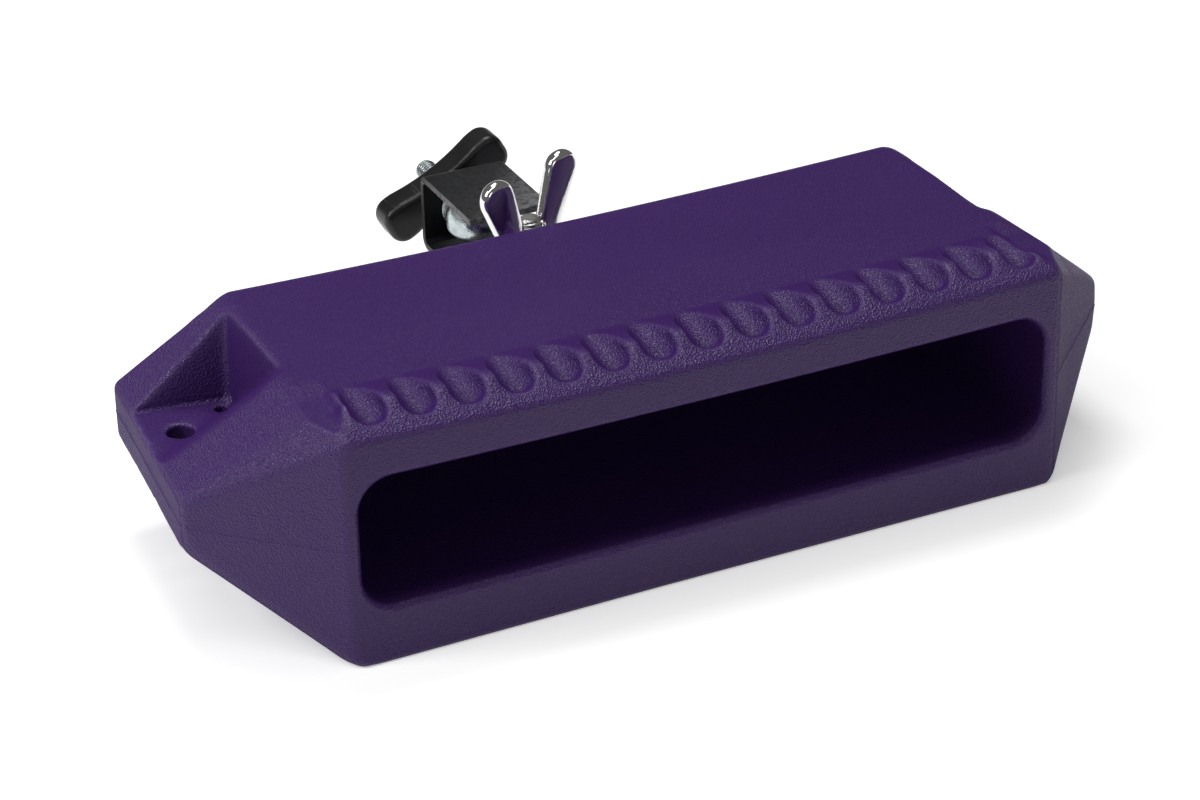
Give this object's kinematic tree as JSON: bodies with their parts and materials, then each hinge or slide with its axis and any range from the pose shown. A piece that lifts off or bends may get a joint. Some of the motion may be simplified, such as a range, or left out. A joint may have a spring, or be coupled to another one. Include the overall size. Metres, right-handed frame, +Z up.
{
  "type": "woodblock",
  "caption": "Long moulded woodblock with a scooped front edge, a deep front slot, flanged ends and a rear bracket with a wing nut and a T-handle rod clamp.",
  "frame": {"origin": "centre of the block's flat underside", "axes": "+X to the right along the block, +Y from the slotted front to the bracket at the back, +Z up through the scooped top"},
  "size_m": [0.342, 0.2415, 0.0898],
  "materials": {
    "block_plastic": "satin, fine moulded grain",
    "strap_steel": "satin black",
    "bolt_steel": "zinc plated",
    "nut_chrome": "polished",
    "eye_zinc": "bright zinc plated",
    "handle_plastic": "satin black"
  },
  "bodies": {
    "woodblock": {"block": "block_plastic", "bracket_strap": "strap_steel", "carriage_bolt": "bolt_steel", "locating_pin": "bolt_steel", "handle_washer": "bolt_steel"},
    "washer_rise": {"wing_washer": "bolt_steel"},
    "wing_nut": {"wing_nut": "nut_chrome"},
    "handle": {"t_handle": "handle_plastic", "handle_insert": "bolt_steel"},
    "eye_carrier": {"eye_washer": "bolt_steel"},
    "eye_bolt": {"eye_bolt": "eye_zinc"}
  },
  "joints": [
    {"name": "wing_nut_rise", "type": "slide", "parent": "woodblock", "child": "washer_rise", "axis": [0, 0, 1], "range_m": [0, 0.00282]},
    {"name": "wing_nut_turn", "type": "hinge", "parent": "washer_rise", "child": "wing_nut", "pos_m": [0, 0.088, 0.05325], "axis": [0, 0, 1], "range_deg": [0, 720]},
    {"name": "handle_turn", "type": "hinge", "parent": "woodblock", "child": "handle", "pos_m": [0, 0.153, 0.04975], "axis": [0, 1, 0], "range_deg": [0, 1440]},
    {"name": "eye_slide", "type": "slide", "parent": "woodblock", "child": "eye_carrier", "axis": [0, -1, 0], "range_m": [0, 0.00564]},
    {"name": "eye_swivel", "type": "hinge", "parent": "eye_carrier", "child": "eye_bolt", "pos_m": [0, 0.1347, 0.04975], "axis": [0, 1, 0], "continuous": true}
  ],
  "couplings": [
    {"joint": "wing_nut_rise", "follows": "wing_nut_turn", "m_per_rad": 0.00022458},
    {"joint": "eye_slide", "follows": "handle_turn", "m_per_rad": 0.00022458}
  ]
}
